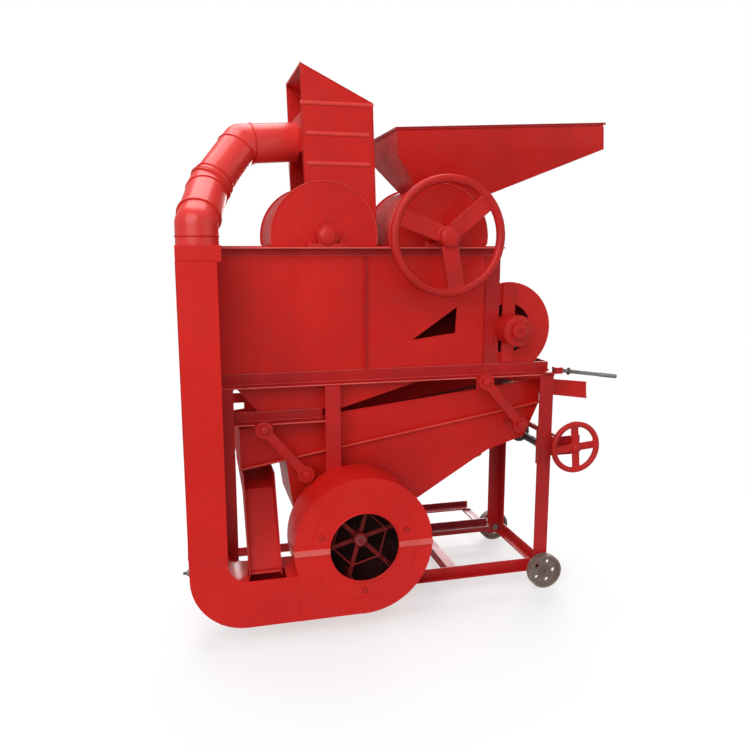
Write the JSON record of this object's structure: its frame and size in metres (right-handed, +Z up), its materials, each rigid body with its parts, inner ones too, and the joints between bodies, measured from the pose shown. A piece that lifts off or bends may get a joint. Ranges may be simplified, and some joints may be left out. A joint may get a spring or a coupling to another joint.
{
  "type": "peanut sheller",
  "caption": "Peanut shelling machine with a tilted feed hopper, two rotor drums, a vibrating gravity sieve, a cleaning fan and a blower that lifts unshelled pods.",
  "frame": {"origin": "on the ground under the middle of the bounding box", "axes": "+Z up, +X towards the kernel outlet, -Y towards the side with the big handwheel and the lifting duct"},
  "size_m": [1.3207, 0.664, 1.55],
  "materials": {
    "red_iron": "gloss enamel, worn",
    "red_sheet": "gloss enamel on sheet steel",
    "steel_shaft": "turned",
    "worn_steel": "worn",
    "cast_red": "painted casting",
    "dark_iron": "dark casting",
    "belt_rubber": "matt",
    "screen_steel": "perforated",
    "zinc_bolt": "zinc plated",
    "red_wheel": "painted pressing"
  },
  "bodies": {
    "frame": {"base_rails": "red_iron", "bearing_stands": "red_iron", "bearings": "cast_red", "belts": "belt_rubber", "blower_casing_lower": "red_sheet", "blower_casing_upper": "red_sheet", "bolts": "zinc_bolt", "box_panels": "red_sheet", "box_rims": "red_iron", "collecting_pan": "red_sheet", "concaves": "worn_steel", "drum_ends": "red_sheet", "duct_collar": "red_sheet", "end_brackets": "red_iron", "fan_bearings": "cast_red", "fan_casing": "red_sheet", "feed_chute": "red_sheet", "foot_plates": "red_iron", "hopper": "red_sheet", "legs": "red_iron", "lift_duct": "red_sheet", "main_hood": "red_sheet", "motor_rails": "red_iron", "pipe_lower": "red_sheet", "pipe_upper": "red_sheet", "rocker_lugs": "red_iron", "second_hood": "red_sheet", "table_rails": "red_iron", "tower": "red_sheet", "wheel_axles": "steel_shaft", "wind_fan_casing": "red_sheet"},
    "main_rotor": {"main_shaft": "steel_shaft", "main_rotor": "worn_steel", "handwheel": "cast_red", "main_pulleys": "dark_iron"},
    "second_rotor": {"second_shaft": "steel_shaft", "second_rotor": "worn_steel", "second_pulleys": "dark_iron"},
    "cleaning_fan": {"fan_shaft": "steel_shaft", "fan_impeller": "worn_steel", "fan_pulley": "dark_iron"},
    "lifting_blower": {"blower_shaft": "steel_shaft", "lift_impeller": "red_sheet", "wind_impeller": "worn_steel", "blower_pulleys": "dark_iron"},
    "eccentric": {"eccentric_shaft": "steel_shaft", "sieve_drive_pulley": "dark_iron"},
    "pitman": {"pitman": "cast_red"},
    "left_rockers": {"left_rockers": "cast_red"},
    "right_rockers": {"right_rockers": "cast_red"},
    "sieve": {"sieve_box": "red_sheet", "sieve_screen": "screen_steel", "kernel_tray": "red_sheet", "wind_box": "red_sheet", "sieve_pins": "steel_shaft"},
    "tilt_handwheel": {"tilt_handwheel": "cast_red"},
    "draw_rod": {"draw_rod": "steel_shaft"},
    "front_wheel": {"wheel_front": "red_wheel"},
    "rear_wheel": {"wheel_rear": "red_wheel"}
  },
  "joints": [
    {"name": "main_spin", "type": "hinge", "parent": "frame", "child": "main_rotor", "pos_m": [0.081, 0, 1.095], "axis": [0, 1, 0], "continuous": true},
    {"name": "second_spin", "type": "hinge", "parent": "frame", "child": "second_rotor", "pos_m": [-0.255, 0, 1.095], "axis": [0, 1, 0], "continuous": true},
    {"name": "fan_spin", "type": "hinge", "parent": "frame", "child": "cleaning_fan", "pos_m": [0.305, 0, 0.822], "axis": [0, 1, 0], "continuous": true},
    {"name": "blower_spin", "type": "hinge", "parent": "frame", "child": "lifting_blower", "pos_m": [-0.188, 0, 0.248], "axis": [0, 1, 0], "continuous": true},
    {"name": "eccentric_spin", "type": "hinge", "parent": "frame", "child": "eccentric", "pos_m": [0.421, 0, 0.455], "axis": [0, 1, 0], "continuous": true},
    {"name": "pitman_turn", "type": "hinge", "parent": "eccentric", "child": "pitman", "pos_m": [0.421, 0, 0.46], "axis": [0, 1, 0], "continuous": true},
    {"name": "left_rocker_swing", "type": "hinge", "parent": "frame", "child": "left_rockers", "pos_m": [-0.443, 0, 0.566], "axis": [0, 1, 0], "range_deg": [-1.6, 1.6]},
    {"name": "right_rocker_swing", "type": "hinge", "parent": "frame", "child": "right_rockers", "pos_m": [0.213, 0, 0.67169], "axis": [0, 1, 0], "range_deg": [-1.6, 1.6]},
    {"name": "sieve_shake", "type": "hinge", "parent": "left_rockers", "child": "sieve", "pos_m": [-0.328, 0, 0.43], "axis": [0, 1, 0], "range_deg": [-1.6, 1.6]},
    {"name": "tilt_wheel_turn", "type": "hinge", "parent": "frame", "child": "tilt_handwheel", "pos_m": [0.516, 0, 0.452], "axis": [0, 1, 0], "continuous": true},
    {"name": "draw_rod_slide", "type": "slide", "parent": "frame", "child": "draw_rod", "axis": [0.9903, 0, -0.1392], "range_m": [0, 0.012]},
    {"name": "front_wheel_spin", "type": "hinge", "parent": "frame", "child": "front_wheel", "pos_m": [0.427, 0, 0.054], "axis": [0, 1, 0], "continuous": true},
    {"name": "rear_wheel_spin", "type": "hinge", "parent": "frame", "child": "rear_wheel", "pos_m": [0.427, 0, 0.054], "axis": [0, 1, 0], "continuous": true}
  ],
  "couplings": [
    {"joint": "second_spin", "follows": "main_spin", "ratio": 1},
    {"joint": "fan_spin", "follows": "main_spin", "ratio": 2},
    {"joint": "blower_spin", "follows": "main_spin", "ratio": 2.5},
    {"joint": "eccentric_spin", "follows": "main_spin", "ratio": 1},
    {"joint": "pitman_turn", "follows": "main_spin", "ratio": -1},
    {"joint": "right_rocker_swing", "follows": "left_rocker_swing", "ratio": 1},
    {"joint": "sieve_shake", "follows": "left_rocker_swing", "ratio": -1}
  ]
}
